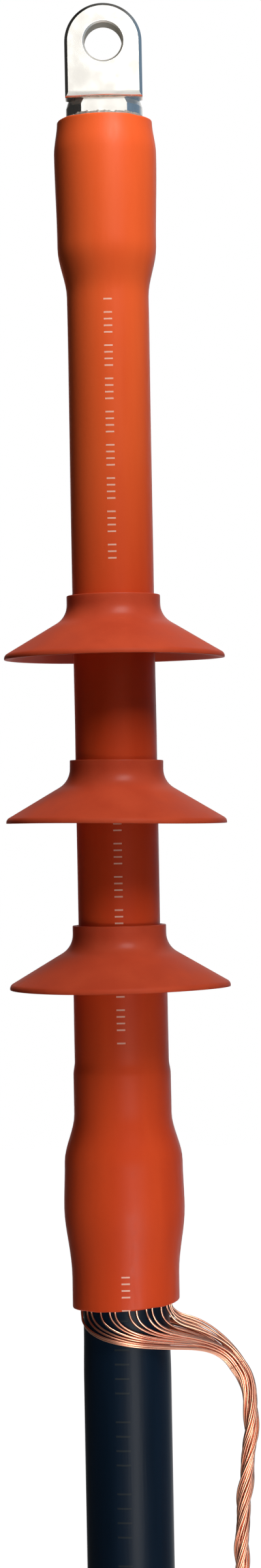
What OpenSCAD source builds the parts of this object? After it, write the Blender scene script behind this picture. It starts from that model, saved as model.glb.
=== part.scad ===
// Outdoor heat-shrink termination of a single-core medium-voltage cable.
// The origin is the centre of the lug's fixing hole. +Z runs up the cable, -Y is the palm's contact face,
// and the cable's own axis stands behind the hole, at y = axis_y. All lengths are in millimetres.

/* [Terminal lug] */
// Diameter of the fixing hole
lug_hole_d = 17; // [13:0.5:21]
// Chamfer round the fixing hole
hole_chamfer = 0.9; // [0.3:0.1:1.5]
// Width of the palm, and diameter of its round end
palm_w = 35; // [30:0.5:40]
// Thickness of the palm
palm_t = 11; // [9:0.5:14]
// Chamfer along the palm's outline
palm_chamfer = 1.4; // [0.5:0.1:2]
// Drop from the hole's centre to the palm's lower edge
palm_drop = 25; // [22:0.5:32]
// Round on the palm's lower front edge
palm_round = 2.6; // [1:0.1:3]
// Fillet between the palm's back and the barrel's top
palm_fillet = 7; // [3:0.5:9]
// Outside diameter of the barrel
barrel_d = 35; // [33:0.5:38]
// Length of the barrel below the palm
barrel_len = 67; // [60:1:80]
// Height of the barrel's top above the palm's lower edge
barrel_rise = 0.5; // [0.2:0.1:2]
// Width of the chamfer round the barrel's top
barrel_chamfer_w = 0.8; // [0.4:0.1:1.5]
// Height of the chamfer round the barrel's top
barrel_chamfer_h = 2.7; // [1:0.1:4]
// Depth of the bore that takes the conductor
bore_depth = 58; // [50:1:59]
// Depth of the flat milled on the barrel's front
flat_depth = 3.4; // [2:0.1:4]

/* [Shear bolts] */
// Diameter of each bolt
bolt_d = 14; // [10:0.5:16]
// Distance from the barrel's end to the first bolt
bolt_first = 15; // [10:1:18]
// Distance between the bolts
bolt_pitch = 25; // [18:1:28]
// Taper round each bolt's tip
bolt_taper = 1; // [0.5:0.1:2]

/* [Cable] */
// Diameter of the stranded conductor
conductor_d = 18.4; // [16:0.1:20]
// Strands in the conductor's outer layer
strand_count = 18; // [14:1:24]
// Thickness of the conductor screen
conductor_screen_t = 0.5; // [0.3:0.1:0.8]
// Thickness of the core insulation
insulation_t = 5.5; // [4.5:0.1:6.5]
// Thickness of the insulation screen
insulation_screen_t = 0.7; // [0.4:0.1:1]
// Thickness of the bedding tape under the screen wires
bedding_t = 0.3; // [0.2:0.05:0.5]
// Diameter of one copper screen wire
wire_d = 1; // [0.8:0.05:1.1]
// Thickness of the tape over the screen wires
separation_t = 0.25; // [0.15:0.05:0.5]
// Thickness of the sheath
sheath_t = 2.4; // [1.8:0.1:3]
// Depth to which the sheath is abraded where sealant and wires lie on it
abraded_t = 0.3; // [0.15:0.05:0.4]

/* [Stripped lengths] */
// Gap between the barrel's end and the insulation
insulation_gap = 3; // [1:0.5:6]
// Length from the barrel's end to the edge of the insulation screen
insulation_len = 376; // [350:1:420]
// Length of bare insulation screen above the sheath's cut
screen_len = 33; // [28:1:45]
// Length of sheath that the outer tube covers
covered_len = 72; // [68:1:90]
// Length of cable below the outer tube
stub_len = 147; // [140:1:300]

/* [Heat-shrink tubes] */
// Wall of the outer tube after shrinking
tube_wall = 3.4; // [2.5:0.1:4]
// Slant of the outer tube's lower cut, in degrees
mouth_slant = 3.6; // [0:0.1:5]
// Length of barrel left bare above the outer tube
bare_barrel = 8; // [4:0.5:12]
// Sealant over the barrel, at the tube's top rim
rim_sealant_t = 0.8; // [0.4:0.1:1.2]
// Sealant over the barrel, at its thickest
lug_sealant_t = 2.45; // [1.5:0.05:3]
// Sealant over the barrel, at its lower end
lug_sealant_end_t = 1.6; // [1:0.05:2]
// Length over which the tube widens below its top rim
swell_len = 15; // [10:1:20]
// Height above the barrel's end at which the tube starts to narrow
shoulder_rise = 1.5; // [0.5:0.5:4]
// Length over which the tube narrows below the barrel
shoulder_len = 21; // [16:1:30]
// Gap between the sealant's lower end and the end of the shoulder
lug_sealant_stop = 3; // [2:0.5:6]
// Wall of the stress control tube
stress_wall = 2.8; // [2:0.1:3.5]
// Length of the stress control tube above the edge of the insulation screen
stress_rise = 51; // [45:1:70]
// Length of the stress control tube's feathered top
stress_feather = 12; // [8:1:16]
// Gap between the stress control tube's end and the sheath's cut
stress_stop = 15; // [13:0.5:18]
// Length of the mastic wedge at the edge of the insulation screen
wedge_len = 6; // [4:0.5:10]
// Sealant over the folded wires, at its thickest
fold_sealant_t = 3.1; // [2:0.1:4]
// Sealant over the folded wires, at the sheath's cut
fold_sealant_top_t = 2.5; // [1.5:0.1:3]
// Depth below the sheath's cut at which the sealant's shoulder ends
fold_shoulder = 7; // [5:0.5:10]
// Depth below the sheath's cut at which the sealant is thickest
fold_peak = 28; // [20:1:32]
// Depth below the sheath's cut at which the tube closes on the wires
fold_close = 58; // [48:1:62]
// Gap between the sealant's lower end and the place where the tube closes
sheath_sealant_stop = 6; // [4:1:12]

/* [Rain sheds] */
// Outside diameter of a shed
shed_d = 101; // [90:1:120]
// Slope of the skirt below level, in degrees
skirt_slope = 30.5; // [25:0.5:36]
// Straight depth of the rim below its rounded edge
rim_depth = 0.5; // [0.3:0.1:2]
// Distance between sheds
shed_pitch = 75.3; // [60:0.1:90]
// Clearance between the lowest collar and the stress control tube's top
shed_clear = 2; // [1:0.5:6]
// Wall of the neck
neck_wall = 1.75; // [1.4:0.05:2.5]
// Height of the straight neck
neck_h = 4; // [3:0.5:8]
// Radius of the curve from the neck to the skirt
neck_sweep = 10; // [6:0.5:12]
// Thickness of the skirt
skirt_t = 2.6; // [2:0.1:3]
// Radius of the rim's upper edge
rim_round = 2.5; // [1.5:0.1:3]
// Length of the collar below the skirt
collar_lip = 2.3; // [1:0.1:4]
// Thickness of the sealant ring in the collar
shed_sealant_t = 0.75; // [0.5:0.05:1]
// Set-back of the sealant ring from the collar's ends
shed_sealant_inset = 1; // [0.5:0.1:2]
// Lean of the middle shed, in degrees
middle_lean = 0.9; // [0:0.1:1]

/* [Screen wires and earth lead] */
// Height of the fold above the sheath's cut
fold_rise = 1.2; // [0.8:0.1:2]
// Drop of the nearest wire below the tube's mouth
fan_top = 3; // [2.5:0.1:5]
// Gap between the wires of the fan
fan_gap = 0.25; // [0.22:0.01:0.4]
// Length over which the fan closes into the lead
gather_len = 24; // [20:1:26]
// Length of abraded sheath below the lowest wire
fan_margin = 4; // [2:0.5:8]
// Gap between the wires in the lead
lead_gap = 0.16; // [0.14:0.01:0.2]

/* [Earth lug] */
// Diameter of the earth lug's hole
earth_hole_d = 13; // [10.5:0.5:13]
// Width of the earth lug's palm
earth_palm_w = 20; // [18:0.5:26]
// Thickness of the earth lug's palm
earth_palm_t = 3.4; // [2.5:0.1:5]
// Wall of the earth lug's barrel
earth_wall = 1.7; // [1.2:0.1:2.2]
// Length of the earth lug's barrel
earth_barrel_len = 20; // [16:1:26]
// Solid length between the barrel's bore and the palm
earth_bore_stop = 4; // [2:0.5:6]
// Distance from the barrel's mouth to the first crimp
crimp_margin = 3; // [2:0.5:4]
// Length of each crimp
crimp_len = 5; // [3:0.5:6]
// Gap between the crimps
crimp_gap = 2; // [1:0.5:3]
// Depth of the crimps
crimp_depth = 0.5; // [0.3:0.1:0.7]
// Length over which the barrel flattens into the palm
earth_neck_len = 8; // [6:0.5:10]
// Distance from the barrel to the hole's centre
earth_reach = 20; // [17:0.5:26]

/* [Hidden] */
$fn = 96;

// Clearance between the layers of the cable, which are bonded on the real one
layer_gap = 0.02;
// Clearance between pieces that are shrunk, pressed or slid onto each other
fit_gap = 0.05;
// Clearance of the conductor in the lug's bore
bore_gap = 0.15;
// Extra length of a cutting solid past the face that it cuts
past = 1;
// Width of a compacted strand over that of strands that only touch
strand_overlap = 1.1;
// Share of the mastic wedge's length that is thick enough to draw
wedge_drawn = 0.7;
// Points along one eased stretch of a tube's outline
ease_steps = 8;
// Points along one rounded corner of an outline
arc_steps = 8;
// Stretches of a wire's fold over the sheath's cut, and of its way from the fan into the lead
fold_steps = 5;
gather_steps = 6;

// Radii of the cable's layers, from the conductor outwards
conductor_r = conductor_d / 2;
conductor_screen_r = conductor_r + layer_gap + conductor_screen_t;
insulation_r = conductor_screen_r + layer_gap + insulation_t;
screen_r = insulation_r + layer_gap + insulation_screen_t;
bedding_r = screen_r + layer_gap + bedding_t;
wire_inner_r = bedding_r + layer_gap + wire_d / 2;
separation_r = wire_inner_r + wire_d / 2 + layer_gap + separation_t;
sheath_bore_r = separation_r + layer_gap;
sheath_r = sheath_bore_r + sheath_t;
wire_outer_r = sheath_r + fit_gap + wire_d / 2;
wires_over_r = wire_outer_r + wire_d / 2;
stress_over_insulation_r = insulation_r + fit_gap + stress_wall;
stress_over_screen_r = screen_r + fit_gap + stress_wall;
barrel_r = barrel_d / 2;

// Heights along the cable
barrel_top_z = -palm_drop + barrel_rise;
barrel_end_z = -palm_drop - barrel_len;
bore_top_z = barrel_end_z + bore_depth;
tube_top_z = -palm_drop - bare_barrel;
insulation_top_z = barrel_end_z - insulation_gap;
screen_edge_z = barrel_end_z - insulation_len;
sheath_cut_z = screen_edge_z - screen_len;
mouth_z = sheath_cut_z - covered_len;
cable_end_z = mouth_z - stub_len;
stress_top_z = screen_edge_z + stress_rise;
stress_end_z = sheath_cut_z + stress_stop;
shoulder_end_z = barrel_end_z - shoulder_len;
fold_z = sheath_cut_z + fold_rise;
fold_bend_r = (wire_outer_r - wire_inner_r) / 2;
fold_top_z = fold_z + fold_bend_r + wire_d / 2 + fit_gap;
tube_mouth_r = wires_over_r + fit_gap + tube_wall;
tube_low_z = mouth_z - tube_mouth_r * tan(mouth_slant) - past;

// The palm's front is level with the barrel's front, so the cable stands this far behind the hole
axis_y = barrel_r - palm_t / 2;

// Outline of what the outer tube shrinks onto, as [height, radius], eased from each point to the next
core_outline = [
    [tube_top_z, barrel_r + rim_sealant_t],
    [tube_top_z - swell_len, barrel_r + lug_sealant_t],
    [barrel_end_z + shoulder_rise, barrel_r + lug_sealant_end_t],
    [shoulder_end_z, insulation_r],
    [stress_top_z, insulation_r],
    [stress_top_z - stress_feather, stress_over_insulation_r],
    [screen_edge_z + wedge_len, stress_over_insulation_r],
    [screen_edge_z, stress_over_screen_r],
    [stress_end_z, stress_over_screen_r],
    [sheath_cut_z - fold_shoulder, wires_over_r + fold_sealant_top_t],
    [sheath_cut_z - fold_peak, wires_over_r + fold_sealant_t],
    [sheath_cut_z - fold_close, wires_over_r],
    [tube_low_z, wires_over_r]
];

// Bore of the stress control tube, in the same form
stress_bore = [
    [stress_top_z - stress_feather / 4, insulation_r + fit_gap],
    [screen_edge_z + wedge_len, insulation_r + fit_gap],
    [screen_edge_z, screen_r + fit_gap],
    [stress_end_z, screen_r + fit_gap]
];

// Sheds: the skirt turns this far from the neck, hangs its thickness below the slope, and the lowest shed's
// collar stands just above the stress control tube
skirt_turn = 90 - skirt_slope;
skirt_drop = skirt_t / cos(skirt_slope);
sweep_run = neck_sweep * (1 - cos(skirt_turn));
sweep_fall = neck_h + neck_sweep * sin(skirt_turn);
collar_len = sweep_fall - sweep_run * tan(skirt_slope) + skirt_drop + collar_lip;
lowest_shed_z = stress_top_z + collar_len + shed_clear;
shed_seat_r = insulation_r + fit_gap + tube_wall + fit_gap;
shed_bore_r = shed_seat_r + shed_sealant_t + fit_gap + collar_len / 2 * sin(middle_lean);
neck_r = shed_bore_r + neck_wall;

// The wires of one side lie in the lead in three rows of 6, 5 and 4. They are listed from the wire nearest
// to the lead, as [height in spacings, row], so that no wire crosses another on its way
row_step = sqrt(3) / 2;
lead_slots = [
    [2.5, 0], [1.5, 0], [2, 1], [0.5, 0], [1, 1], [1.5, 2], [0.5, 2], [0, 1],
    [-0.5, 0], [-0.5, 2], [-1, 1], [-1.5, 0], [-1.5, 2], [-2, 1], [-2.5, 0]
];
wires_a_side = len(lead_slots);
fan_step = wire_d + fan_gap;
lead_pitch = wire_d + lead_gap;

// Route of the earth lead, from the cable's axis at the tube's mouth
lead_route = [
    [50.5, 0, -28], [53.5, 0, -33], [55.2, 0, -38.5], [56, 0, -44.5], [56.2, 0, -51], [56, 0, -58],
    [55.2, 0, -66], [54.4, 0, -74], [53.4, 0, -82], [52.4, 0, -90], [51.6, 0, -98], [51.1, 0, -106],
    [50.8, 0, -114], [50.6, 0, -122], [50.5, 0, -130], [50.5, 0, -138], [50.5, 0, -146]
];
lead_start = lead_route[0];
lead_heading = unit(lead_route[1] - lead_route[0]);
lead_end = lead_route[len(lead_route) - 1];
// The lead is as wide as its outermost wires
lead_r = lead_pitch * norm([1.5, 0.5 + 2 * row_step]) + wire_d / 2;
lead_sides = 12;
wire_sides = 6;

// Earth lug
earth_bore_r = lead_r + fit_gap;
earth_barrel_r = earth_bore_r + earth_wall;
earth_bore_depth = earth_barrel_len - earth_bore_stop;
crimp_flat_r = earth_barrel_r - crimp_depth;

// Curves and outlines

function ease(t) = t * t * (3 - 2 * t);
function unit(v) = v / norm(v);
function across(v, n) = unit(v - n * (v * n));

// Radius of an eased outline at a height
function radius_at(outline, z, i = 0) =
    i < len(outline) - 2 && z < outline[i + 1][0] ? radius_at(outline, z, i + 1) :
    let (a = outline[i], b = outline[i + 1])
    a[1] + (b[1] - a[1]) * ease((z - a[0]) / (b[0] - a[0]));

// Heights at which an eased outline is drawn between two ends
function drawn_heights(outline, top, bottom) = concat([top], [
    for (i = [0 : len(outline) - 2])
        let (a = outline[i], b = outline[i + 1], n = a[1] == b[1] ? 1 : ease_steps)
        for (k = [1 : n])
            let (z = a[0] + (b[0] - a[0]) * k / n)
            if (z < top && z > bottom) z
], [bottom]);

// Eased outline as [radius, height] points, grown by a distance
function drawn(outline, grow, top, bottom) =
    [for (z = drawn_heights(outline, top, bottom)) [radius_at(outline, z) + grow, z]];

function reversed(list) = [for (i = [len(list) - 1 : -1 : 0]) list[i]];

function arc(centre, r, from, to) =
    [for (k = [0 : arc_steps]) let (a = from + (to - from) * k / arc_steps) centre + r * [cos(a), sin(a)]];

function bezier(p, q, r, s, t) =
    p * (1 - t) ^ 3 + q * 3 * t * (1 - t) ^ 2 + r * 3 * t ^ 2 * (1 - t) + s * t ^ 3;

// Sweeps

function headings(path, first, last) =
    let (end = len(path) - 1)
    [for (i = [0 : end])
        i == 0 ? first :
        i == end ? last :
        unit(unit(path[i + 1] - path[i]) + unit(path[i] - path[i - 1]))];

// A direction across each heading that turns no more than the path does
function carried(heads, start) = [
    for (i = 0, n = across(start, heads[0]); i < len(heads);
         i = i + 1, n = i < len(heads) ? across(n, heads[i]) : n) n
];

// Points of a round rod along a path
function rod_points(path, first, last, start, r, sides) =
    let (heads = headings(path, first, last), sideways = carried(heads, start))
    [for (i = [0 : len(path) - 1], k = [0 : sides - 1])
        let (a = 360 * k / sides)
        path[i] + r * (cos(a) * sideways[i] + sin(a) * cross(heads[i], sideways[i]))];

// Faces of a rod of some rings whose points start at an index
function rod_faces(rings, sides, from) = concat(
    [[for (k = [0 : sides - 1]) from + k]],
    [for (i = [0 : rings - 2], k = [0 : sides - 1])
        let (a = from + i * sides + k, b = from + i * sides + (k + 1) % sides)
        each [[a, a + sides, b + sides], [a, b + sides, b]]],
    [[for (k = [sides - 1 : -1 : 0]) from + (rings - 1) * sides + k]]
);

module on_cable_axis() {
    translate([0, axis_y, 0]) children();
}

// Layer of the cable between two radii and two heights
module layer(inner_r, outer_r, top, bottom) {
    on_cable_axis() translate([0, 0, bottom]) difference() {
        cylinder(r = outer_r, h = top - bottom);
        translate([0, 0, -past]) cylinder(r = inner_r, h = top - bottom + 2 * past);
    }
}

// Terminal lug

// Barrel with its chamfered top and milled flat, grown by a clearance
module barrel(grow = 0) {
    r = barrel_r + grow;
    difference() {
        rotate_extrude() polygon([
            [0, barrel_top_z], [r - barrel_chamfer_w, barrel_top_z], [r, barrel_top_z - barrel_chamfer_h],
            [r, barrel_end_z - grow], [0, barrel_end_z - grow]
        ]);
        translate([-barrel_d, -barrel_d - barrel_r + flat_depth - grow, barrel_end_z - barrel_d])
            cube([2 * barrel_d, barrel_d, barrel_len + barrel_d + past]);
    }
}

module bolt_places() {
    for (i = [0, 1])
        translate([0, 0, barrel_end_z + bolt_first + i * bolt_pitch]) rotate([90, 0, 0]) children();
}

// Palm: a half-round head on a straight shank, chamfered along its outline
module palm() {
    half_w = palm_w / 2;
    half_t = palm_t / 2;
    flat_w = half_w - palm_chamfer;
    flat_t = half_t - palm_chamfer;
    edge = [[flat_w, -half_t], [half_w, -flat_t], [half_w, flat_t], [flat_w, half_t]];
    rotate([90, 0, 0]) rotate_extrude(angle = 180) polygon(concat([[0, -half_t]], edge, [[0, half_t]]));
    intersection() {
        translate([0, 0, -palm_drop]) linear_extrude(palm_drop) polygon(concat(edge, -1 * edge));
        rotate([90, 0, 90]) translate([0, 0, -palm_w]) linear_extrude(2 * palm_w) polygon(concat(
            [[half_t, past], [-half_t, past]],
            arc([-half_t + palm_round, -palm_drop + palm_round], palm_round, 180, 270),
            [[half_t, -palm_drop]]
        ));
    }
}

// Concave fillet behind the palm, down to the barrel's top, as wide as the palm's flat back
module palm_rear_fillet() {
    back = palm_t / 2;
    foot = -palm_drop;
    width = palm_w - 2 * palm_chamfer;
    rotate([90, 0, 90]) translate([0, 0, -width / 2]) linear_extrude(width) polygon(concat(
        [[back - palm_chamfer, foot], [back - palm_chamfer, foot + palm_fillet]],
        arc([back + palm_fillet, foot + palm_fillet], palm_fillet, 180, 270)
    ));
}

module terminal_lug() {
    color([0.83, 0.82, 0.78]) difference() {
        union() {
            palm();
            palm_rear_fillet();
            on_cable_axis() barrel();
        }
        rotate([90, 0, 0]) {
            translate([0, 0, -palm_t]) cylinder(d = lug_hole_d, h = 2 * palm_t);
            for (side = [-1, 1])
                rotate([0, 90 - 90 * side, 0]) translate([0, 0, palm_t / 2 - hole_chamfer])
                    cylinder(d1 = lug_hole_d, d2 = lug_hole_d + 4 * hole_chamfer, h = 2 * hole_chamfer);
        }
        on_cable_axis() {
            translate([0, 0, barrel_end_z - past])
                cylinder(r = conductor_r + bore_gap, h = bore_depth + past);
            bolt_places() cylinder(d = bolt_d + 2 * fit_gap, h = barrel_d);
        }
    }
}

// Bolts whose heads have sheared off level with the flat, pressing on the conductor
module shear_bolts() {
    tip = conductor_r + fit_gap;
    head = barrel_r - flat_depth;
    r = bolt_d / 2;
    color([0.72, 0.73, 0.75]) on_cable_axis() bolt_places() rotate_extrude()
        polygon([[0, tip], [r - bolt_taper, tip], [r, tip + bolt_taper], [r, head], [0, head]]);
}

// Cable

// Compacted strands, drawn as the ring of outer strands round a solid middle
module conductor() {
    strand_r = strand_overlap * conductor_r * sin(180 / strand_count);
    middle_r = conductor_r - strand_r;
    color([0.78, 0.79, 0.8]) on_cable_axis() translate([0, 0, cable_end_z])
        linear_extrude(bore_top_z - fit_gap - cable_end_z) union() {
            circle(r = middle_r);
            for (i = [0 : strand_count - 1])
                rotate(360 * i / strand_count) translate([middle_r, 0]) circle(r = strand_r, $fn = 32);
        }
}

module conductor_screen() {
    color([0.13, 0.13, 0.13])
        layer(conductor_r + layer_gap, conductor_screen_r, insulation_top_z, cable_end_z);
}

module core_insulation() {
    color([0.9, 0.89, 0.84])
        layer(conductor_screen_r + layer_gap, insulation_r, insulation_top_z, cable_end_z);
}

module insulation_screen() {
    color([0.1, 0.1, 0.1]) layer(insulation_r + layer_gap, screen_r, screen_edge_z, cable_end_z);
}

module bedding_tape() {
    color([0.2, 0.2, 0.22]) layer(screen_r + layer_gap, bedding_r, fold_z, cable_end_z);
}

module separation_tape() {
    color([0.85, 0.85, 0.82])
        layer(separation_r - separation_t, separation_r, sheath_cut_z, cable_end_z);
}

// Sheath, abraded down to just below the fan of wires
module cable_sheath() {
    abraded_r = sheath_r - abraded_t;
    abraded_end_z = mouth_z - fan_top - fan_step * wires_a_side - fan_margin;
    color([0.07, 0.07, 0.08]) on_cable_axis() rotate_extrude() polygon([
        [sheath_bore_r, sheath_cut_z], [abraded_r, sheath_cut_z], [abraded_r, abraded_end_z],
        [sheath_r, abraded_end_z], [sheath_r, cable_end_z], [sheath_bore_r, cable_end_z]
    ]);
}

// Tubes and sealants

module stress_relief_mastic() {
    feather_z = screen_edge_z + wedge_drawn * wedge_len;
    color([0.85, 0.75, 0.2]) on_cable_axis() rotate_extrude() polygon(concat(
        drawn(stress_bore, -fit_gap, feather_z, screen_edge_z + fit_gap),
        [[insulation_r + layer_gap, screen_edge_z + fit_gap], [insulation_r + layer_gap, feather_z]]
    ));
}

module stress_control_tube() {
    top = stress_bore[0][0];
    color([0.12, 0.12, 0.13]) on_cable_axis() rotate_extrude() polygon(concat(
        drawn(core_outline, 0, top, stress_end_z),
        reversed(drawn(stress_bore, 0, top, stress_end_z))
    ));
}

// Sealant wrapped over the barrel and filled down to the insulation
module lug_sealant() {
    bottom = shoulder_end_z + lug_sealant_stop;
    core_top = insulation_top_z + fit_gap;
    color([0.55, 0.53, 0.5]) on_cable_axis() difference() {
        rotate_extrude() polygon(concat(
            drawn(core_outline, 0, tube_top_z, bottom),
            [[conductor_r + fit_gap, bottom], [conductor_r + fit_gap, tube_top_z]]
        ));
        barrel(fit_gap);
        translate([0, 0, bottom - past]) cylinder(r = insulation_r + fit_gap, h = core_top - bottom + past);
    }
}

// Sealant over the folded screen wires, from the stress control tube's end to near the mouth
module sheath_sealant() {
    top = stress_end_z - fit_gap;
    bottom = sheath_cut_z - fold_close + sheath_sealant_stop;
    color([0.15, 0.13, 0.12]) on_cable_axis() rotate_extrude() polygon(concat(
        drawn(core_outline, 0, top, bottom),
        [[wires_over_r + fit_gap, bottom], [wires_over_r + fit_gap, fold_top_z],
         [screen_r + fit_gap, fold_top_z], [screen_r + fit_gap, top]]
    ));
}

// One tube over everything from the barrel to the sheath, cut at a slant at its mouth
module insulating_tube() {
    cutter = 4 * tube_mouth_r;
    color([0.82, 0.3, 0.16]) on_cable_axis() difference() {
        rotate_extrude() polygon(concat(
            drawn(core_outline, fit_gap + tube_wall, tube_top_z, tube_low_z),
            reversed(drawn(core_outline, fit_gap, tube_top_z, tube_low_z))
        ));
        translate([0, 0, mouth_z]) rotate([0, -mouth_slant, 0]) translate([-cutter / 2, -cutter / 2, -cutter])
            cube(cutter);
    }
}

// Rain sheds

// Height of a shed's neck, counted from the lowest
function shed_z(i) = lowest_shed_z + i * shed_pitch;

// Bell-shaped shed, drawn from its neck's top downwards
module rain_shed() {
    shed_r = shed_d / 2;
    slope = tan(skirt_slope);
    sweep_end_r = neck_r + sweep_run;
    rim_start_r = shed_r - rim_round * (1 - cos(skirt_turn));
    rim_start_z = -sweep_fall - (rim_start_r - sweep_end_r) * slope;
    rim_end_z = rim_start_z - rim_round * sin(skirt_turn);
    rim_z = rim_end_z - rim_depth;
    lip_r = sweep_end_r - (rim_z + sweep_fall + skirt_drop) / slope;
    rotate_extrude() polygon(concat(
        [[shed_bore_r, 0], [neck_r, 0]],
        arc([neck_r + neck_sweep, -neck_h], neck_sweep, 180, 180 + skirt_turn),
        arc([shed_r - rim_round, rim_end_z], rim_round, skirt_turn, 0),
        [[shed_r, rim_z], [min(lip_r, shed_r - rim_depth), rim_z], [neck_r, collar_lip - collar_len],
         [neck_r, -collar_len], [shed_bore_r, -collar_len]]
    ));
}

module placed_shed(i, lean) {
    color([0.72, 0.27, 0.17]) on_cable_axis() translate([0, 0, shed_z(i) - collar_len / 2])
        rotate([0, lean, 0]) translate([0, 0, collar_len / 2]) rain_shed();
}

module rain_shed_upper() {
    placed_shed(2, 0);
}

module rain_shed_middle() {
    placed_shed(1, middle_lean);
}

module rain_shed_lower() {
    placed_shed(0, 0);
}

module shed_sealant() {
    top = -shed_sealant_inset;
    bottom = shed_sealant_inset - collar_len;
    color([0.5, 0.2, 0.14]) for (i = [0 : 2])
        layer(shed_seat_r, shed_seat_r + shed_sealant_t, shed_z(i) + top, shed_z(i) + bottom);
}

// Screen wires and earth lead

// Place of a wire of one side in the lead's end, seen from above as [outwards, sideways, height]
function slot_place(k) =
    let (up = [-lead_heading[2], 0, lead_heading[0]], slot = lead_slots[k])
    [lead_start[0], 0, lead_start[2]] + lead_pitch * (slot[0] * up + [0, 0.5 + slot[1] * row_step, 0]);

// Path of a wire from the tube's mouth into the lead: it lies on the sheath in a quarter ellipse that ends
// level, leaves the sheath along the tangent to its place in the lead, and closes in on that place
function fan_path(k, angle) =
    let (
        slot = slot_place(k),
        target = [slot[0], slot[1]],
        turn_off = atan2(target[1], target[0]) + acos(wire_outer_r / norm(target)),
        leave = min(angle, turn_off),
        leave_point = wire_outer_r * [cos(leave), sin(leave)],
        round_len = wire_outer_r * (angle - leave) * PI / 180,
        flight = target - leave_point,
        level_len = round_len + norm(flight) - gather_len,
        drop = fan_top + fan_step * k,
        around = function(s) angle - s / wire_outer_r * 180 / PI,
        plan = function(s) s < round_len
            ? wire_outer_r * [cos(around(s)), sin(around(s))]
            : leave_point + unit(flight) * (s - round_len),
        round_steps = 6 + floor(level_len / 6),
        level_end = plan(level_len),
        from = [level_end[0], level_end[1], -drop],
        out = [unit(flight)[0], unit(flight)[1], 0],
        pull = 0.4 * gather_len
    )
    concat(
        [for (i = [0 : round_steps])
            let (a = 90 * i / round_steps, p = plan(level_len * (1 - cos(a)))) [p[0], p[1], -drop * sin(a)]],
        [for (i = [1 : gather_steps])
            bezier(from, from + pull * out, slot - pull * lead_heading, slot, i / gather_steps)]
    );

// Whole path of a wire: up inside the cable, over the sheath's cut, down its outside and into the fan
function wire_path(k, side) =
    let (angle = (k + 0.5) * 180 / wires_a_side, out = [cos(angle), side * sin(angle), 0])
    concat(
        [[0, 0, cable_end_z] + wire_inner_r * out],
        [for (i = [0 : fold_steps])
            let (a = 180 - 180 * i / fold_steps)
            (wire_inner_r + fold_bend_r * (1 + cos(a))) * out + [0, 0, fold_z + fold_bend_r * sin(a)]],
        [for (p = fan_path(k, angle)) [p[0], side * p[1], mouth_z + p[2]]]
    );

module screen_wires() {
    paths = [for (side = [-1, 1], k = [0 : wires_a_side - 1]) wire_path(k, side)];
    starts = [for (i = 0, n = 0; i < len(paths); n = n + len(paths[i]) * wire_sides, i = i + 1) n];
    color([0.85, 0.5, 0.32]) on_cable_axis() polyhedron(
        points = [for (p = paths)
            let (outwards = [p[0][0], p[0][1], 0])
            each rod_points(p, [0, 0, 1], lead_heading, outwards, wire_d / 2, wire_sides)],
        faces = [for (i = [0 : len(paths) - 1]) each rod_faces(len(paths[i]), wire_sides, starts[i])]
    );
}

module earth_lead() {
    color([0.8, 0.45, 0.28]) on_cable_axis() translate([0, 0, mouth_z]) polyhedron(
        points = rod_points(lead_route, lead_heading, [0, 0, -1], [0, 1, 0], lead_r, lead_sides),
        faces = rod_faces(len(lead_route), lead_sides, 0)
    );
}

// Compression lug: a barrel with two hexagonal crimps, flattened into a palm with one hole
module earth_lug() {
    barrel_z = lead_end[2] + earth_bore_depth;
    palm_z = barrel_z - earth_barrel_len;
    crimp_z = barrel_z - crimp_margin - crimp_len;
    flat_z = palm_z - earth_neck_len;
    hole_z = palm_z - earth_reach;
    color([0.8, 0.8, 0.79]) translate([lead_end[0], axis_y, mouth_z]) difference() {
        union() {
            difference() {
                translate([0, 0, palm_z]) cylinder(r = earth_barrel_r, h = earth_barrel_len);
                for (i = [0, 1])
                    translate([0, 0, crimp_z - i * (crimp_len + crimp_gap)]) difference() {
                        cylinder(r = 2 * earth_barrel_r, h = crimp_len);
                        cylinder(r = crimp_flat_r / cos(30), h = crimp_len, $fn = 6);
                    }
            }
            hull() {
                translate([0, 0, palm_z]) cylinder(r = earth_barrel_r, h = fit_gap, $fn = 32);
                translate([-earth_palm_w / 2, -earth_barrel_r, flat_z])
                    cube([earth_palm_w, earth_palm_t, fit_gap]);
            }
            translate([-earth_palm_w / 2, -earth_barrel_r, hole_z])
                cube([earth_palm_w, earth_palm_t, flat_z + fit_gap - hole_z]);
            translate([0, -earth_barrel_r + earth_palm_t, hole_z]) rotate([90, 0, 0])
                cylinder(d = earth_palm_w, h = earth_palm_t);
        }
        translate([0, 0, barrel_z - earth_bore_depth - fit_gap])
            cylinder(r = earth_bore_r, h = earth_bore_depth + fit_gap + past);
        translate([0, -earth_barrel_r + earth_palm_t + past, hole_z]) rotate([90, 0, 0])
            cylinder(d = earth_hole_d, h = earth_palm_t + 2 * past);
    }
}

terminal_lug();
shear_bolts();
conductor();
conductor_screen();
core_insulation();
insulation_screen();
stress_relief_mastic();
stress_control_tube();
bedding_tape();
screen_wires();
separation_tape();
cable_sheath();
lug_sealant();
sheath_sealant();
insulating_tube();
rain_shed_upper();
rain_shed_middle();
rain_shed_lower();
shed_sealant();
earth_lead();
earth_lug();
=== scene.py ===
# %% [markdown]
# # An outdoor cable termination
#
# A power cable ends in a metal lug. A red tube is shrunk over the joint, three bell-shaped sheds keep rain
# off the tube, and the cable's copper screen wires come out below it and are gathered into an earth lead.
# The solid pieces already exist, at their real size and in metres. They could simply be painted, but what
# makes rubber, cut edges and loose wires look real is fine shape. So this lesson makes the tube, the sheds,
# the sheath, the wires and the lead afresh, in the places of the solids, and then gives every piece its
# surface.

# %% Load the solid pieces
import math

import bpy
import numpy as np
from mathutils import Matrix, Vector


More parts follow.
